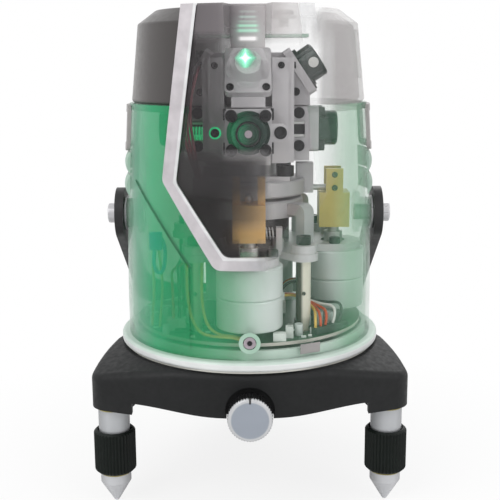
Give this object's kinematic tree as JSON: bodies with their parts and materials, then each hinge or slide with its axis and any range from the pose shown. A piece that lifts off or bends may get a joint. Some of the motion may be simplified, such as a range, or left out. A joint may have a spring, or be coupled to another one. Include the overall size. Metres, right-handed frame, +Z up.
{
  "type": "line laser level",
  "caption": "Motor-levelled line laser on a three-footed base, with a tilting laser head inside a see-through turning housing, a bail handle and a fine turning knob.",
  "frame": {"origin": "mouth of the tripod thread in the middle of the base, on the turning axis", "axes": "+Z up along the turning axis, front panel and fine knob towards -Y, +X to the right when seen from the front"},
  "size_m": [0.1536, 0.1773, 0.2392],
  "materials": {
    "black_casting": "satin black paint on a casting",
    "brass": "machined",
    "steel": "machined",
    "silver_paint": "silver paint",
    "foot_metal": "turned",
    "collar_black": "fluted",
    "bearing_plastic": "smooth",
    "knob_metal": "fluted and turned",
    "rubber": "matt",
    "table_white": "satin",
    "housing_green": "see-through tinted shell",
    "cap_grey": "see-through smoked shell",
    "panel_smoke": "see-through smoked panel",
    "frame_grey": "satin",
    "glass": "clear",
    "grip_green": "soft",
    "screw_black": "blackened",
    "handle_black": "satin",
    "battery": "satin",
    "board_green": "solder mask",
    "connector_white": "moulded",
    "chassis_alloy": "milled",
    "column_cream": "turned",
    "motor_grey": "drawn can",
    "barrel_green": "anodised",
    "lens": "lit lens",
    "button_grey": "soft",
    "wire_red": "insulation",
    "wire_yellow": "insulation",
    "wire_white": "insulation",
    "wire_black": "insulation",
    "wire_pink": "insulation"
  },
  "bodies": {
    "base": {"tripod_base": "black_casting", "tripod_thread_bush": "brass", "leg_sleeves": "foot_metal", "knob_bush": "brass", "turntable_bearing": "bearing_plastic"},
    "turret": {"turntable": "table_white", "housing": "housing_green", "cap": "cap_grey", "bezel": "silver_paint", "front_panel": "panel_smoke", "window_frames": "frame_grey", "window_glass": "glass", "grip_pads": "grip_green", "front_screw": "steel", "key_board": "board_green", "handle_bosses": "frame_grey", "handle_pivots": "steel", "battery_pack": "battery", "chassis_columns": "column_cream", "chassis_plate": "chassis_alloy", "chassis_screws": "screw_black", "coil_spring": "steel", "main_board": "board_green", "board_connectors": "connector_white", "motor_cans": "motor_grey", "gearbox_cans": "motor_grey", "gimbal_base": "chassis_alloy", "wires_red": "wire_red", "wires_yellow": "wire_yellow", "wires_white": "wire_white", "wires_black": "wire_black"},
    "knob": {"fine_knob": "knob_metal", "knob_shaft": "steel", "drive_roller": "rubber"},
    "laser_head": {"head_disc": "chassis_alloy", "head_tower": "chassis_alloy", "tilt_pins": "steel", "line_mounts": "chassis_alloy", "line_plates": "chassis_alloy", "fan_plates": "chassis_alloy", "laser_barrels": "barrel_green", "barrel_lenses": "lens", "head_screws": "screw_black", "head_wires": "wire_pink"},
    "foot_left": {"foot_left": "foot_metal"},
    "foot_right": {"foot_right": "foot_metal"},
    "foot_rear": {"foot_rear": "foot_metal"},
    "collar_left": {"collar_left": "collar_black"},
    "collar_right": {"collar_right": "collar_black"},
    "collar_rear": {"collar_rear": "collar_black"},
    "bail_handle": {"bail_handle": "handle_black"},
    "battery_door": {"battery_door": "housing_green"},
    "gimbal_cross": {"gimbal_cross": "steel"},
    "front_lead_screw": {"front_lead_screw": "steel"},
    "right_lead_screw": {"right_lead_screw": "steel"},
    "front_fork": {"front_fork": "brass"},
    "right_fork": {"right_fork": "brass"},
    "button_power": {"button_power": "button_grey"},
    "button_lines": {"button_lines": "button_grey"},
    "button_light": {"button_light": "button_grey"}
  },
  "joints": [
    {"name": "turret_yaw", "type": "hinge", "parent": "base", "child": "turret", "pos_m": [0, 0, 0.025], "axis": [0, 0, 1], "continuous": true},
    {"name": "knob_turn", "type": "hinge", "parent": "base", "child": "knob", "pos_m": [0, -0.06, 0.0055], "axis": [0, 1, 0], "continuous": true},
    {"name": "handle_swing", "type": "hinge", "parent": "turret", "child": "bail_handle", "pos_m": [0, 0, 0.0888], "axis": [1, 0, 0], "range_deg": [0, 125]},
    {"name": "door_hinge", "type": "hinge", "parent": "turret", "child": "battery_door", "pos_m": [0, 0.06433, 0.0385], "axis": [-1, 0, 0], "range_deg": [0, 90]},
    {"name": "head_pitch", "type": "hinge", "parent": "turret", "child": "gimbal_cross", "pos_m": [0, 0, 0.1015], "axis": [1, 0, 0], "range_deg": [-2.5, 2.5]},
    {"name": "head_roll", "type": "hinge", "parent": "gimbal_cross", "child": "laser_head", "pos_m": [0, 0, 0.1015], "axis": [0, 1, 0], "range_deg": [-2.5, 2.5]},
    {"name": "front_fork_lift", "type": "slide", "parent": "turret", "child": "front_fork", "axis": [0, 0, 1], "range_m": [-0.0019, 0.0019]},
    {"name": "right_fork_lift", "type": "slide", "parent": "turret", "child": "right_fork", "axis": [0, 0, 1], "range_m": [-0.0019, 0.0019]},
    {"name": "front_screw_turn", "type": "hinge", "parent": "turret", "child": "front_lead_screw", "pos_m": [0, -0.043, 0.071], "axis": [0, 0, 1], "range_deg": [-680, 680]},
    {"name": "right_screw_turn", "type": "hinge", "parent": "turret", "child": "right_lead_screw", "pos_m": [0.043, 0, 0.071], "axis": [0, 0, 1], "range_deg": [-680, 680]},
    {"name": "foot_left_height", "type": "slide", "parent": "base", "child": "foot_left", "axis": [0, 0, 1], "range_m": [-0.0051, 0.0061]},
    {"name": "foot_left_collar", "type": "hinge", "parent": "foot_left", "child": "collar_left", "pos_m": [-0.06668, -0.0385, -0.03], "axis": [0, 0, 1], "range_deg": [-900, 1080]},
    {"name": "foot_right_height", "type": "slide", "parent": "base", "child": "foot_right", "axis": [0, 0, 1], "range_m": [-0.0051, 0.0061]},
    {"name": "foot_right_collar", "type": "hinge", "parent": "foot_right", "child": "collar_right", "pos_m": [0.06668, -0.0385, -0.03], "axis": [0, 0, 1], "range_deg": [-900, 1080]},
    {"name": "foot_rear_height", "type": "slide", "parent": "base", "child": "foot_rear", "axis": [0, 0, 1], "range_m": [-0.0051, 0.0061]},
    {"name": "foot_rear_collar", "type": "hinge", "parent": "foot_rear", "child": "collar_rear", "pos_m": [0, 0.077, -0.03], "axis": [0, 0, 1], "range_deg": [-900, 1080]},
    {"name": "power_press", "type": "slide", "parent": "turret", "child": "button_power", "axis": [0, 0, 1], "range_m": [-0.0015, 0], "stiffness_N_per_m": 1200, "springref_m": 0.0006},
    {"name": "lines_press", "type": "slide", "parent": "turret", "child": "button_lines", "axis": [0, 0, 1], "range_m": [-0.0015, 0], "stiffness_N_per_m": 1200, "springref_m": 0.0006},
    {"name": "light_press", "type": "slide", "parent": "turret", "child": "button_light", "axis": [0, 0, 1], "range_m": [-0.0015, 0], "stiffness_N_per_m": 1200, "springref_m": 0.0006}
  ],
  "couplings": [
    {"joint": "knob_turn", "follows": "turret_yaw", "ratio": 6.2},
    {"joint": "front_fork_lift", "follows": "head_pitch", "m_per_rad": -0.043},
    {"joint": "right_fork_lift", "follows": "head_roll", "m_per_rad": -0.043},
    {"joint": "front_screw_turn", "follows": "head_pitch", "ratio": 270.18},
    {"joint": "right_screw_turn", "follows": "head_roll", "ratio": 270.18},
    {"joint": "foot_left_height", "follows": "foot_left_collar", "m_per_rad": 0.00031831},
    {"joint": "foot_right_height", "follows": "foot_right_collar", "m_per_rad": 0.00031831},
    {"joint": "foot_rear_height", "follows": "foot_rear_collar", "m_per_rad": 0.00031831}
  ]
}
